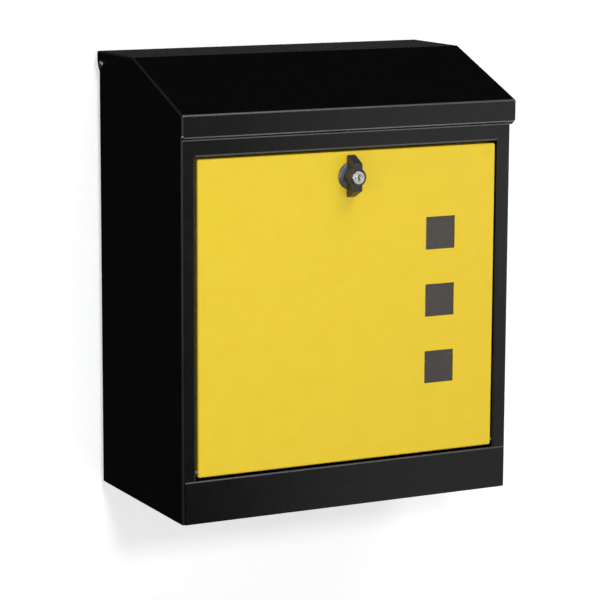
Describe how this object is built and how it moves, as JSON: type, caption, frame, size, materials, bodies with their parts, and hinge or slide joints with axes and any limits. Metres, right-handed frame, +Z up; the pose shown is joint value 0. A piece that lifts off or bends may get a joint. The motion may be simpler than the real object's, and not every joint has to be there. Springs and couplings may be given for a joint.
{
  "type": "mailbox",
  "caption": "Wall mailbox in folded steel: black cabinet with a sloping lift-up lid and a yellow drop-down door with square windows and a locking wing knob.",
  "frame": {"origin": "centre of the four wall holes, on the wall's surface", "axes": "+Z up, +Y into the wall, so the door faces -Y; +X to the right for someone who faces the door"},
  "size_m": [0.3284, 0.196, 0.392],
  "materials": {
    "black_steel": "fine-textured black powder coat",
    "yellow_steel": "satin yellow powder coat",
    "smoked_pane": "smoked clear plastic, polished",
    "rosette_black": "semi-gloss black",
    "knob_black": "fine satin black, moulded",
    "barrel_chrome": "satin nickel plate",
    "bright_steel": "zinc-plated",
    "white_nylon": "natural nylon"
  },
  "bodies": {
    "cabinet": {"left_side_panel": "black_steel", "right_side_panel": "black_steel", "back_panel": "black_steel", "floor_pan": "black_steel", "apron": "black_steel", "top_rail": "black_steel", "lid_rivet_left": "bright_steel", "lid_rivet_right": "bright_steel", "lid_washer_left": "white_nylon", "lid_washer_right": "white_nylon", "door_pin_left": "bright_steel", "door_pin_right": "bright_steel"},
    "lid": {"lid": "black_steel"},
    "door": {"door_panel": "yellow_steel", "window_strip": "smoked_pane", "window_studs": "bright_steel", "push_nuts": "bright_steel", "rosette": "rosette_black", "lock_washer": "bright_steel", "lock_nut": "bright_steel"},
    "knob": {"knob": "knob_black", "key_barrel": "barrel_chrome", "lock_spindle": "bright_steel", "latch_cam": "bright_steel", "cam_washer": "bright_steel", "cam_screw": "bright_steel"},
    "key_plug": {"key_plug": "barrel_chrome"}
  },
  "joints": [
    {"name": "lid_hinge", "type": "hinge", "parent": "cabinet", "child": "lid", "pos_m": [0, -0.0153, 0.1913], "axis": [-1, 0, 0], "range_deg": [0, 90]},
    {"name": "door_hinge", "type": "hinge", "parent": "cabinet", "child": "door", "pos_m": [0, -0.1775, -0.1457], "axis": [1, 0, 0], "range_deg": [0, 115]},
    {"name": "knob_turn", "type": "hinge", "parent": "door", "child": "knob", "pos_m": [0, -0.181, 0.102], "axis": [0, 1, 0], "range_deg": [0, 90]},
    {"name": "plug_turn", "type": "hinge", "parent": "knob", "child": "key_plug", "pos_m": [0, -0.181, 0.102], "axis": [0, 1, 0], "range_deg": [0, 90]}
  ]
}
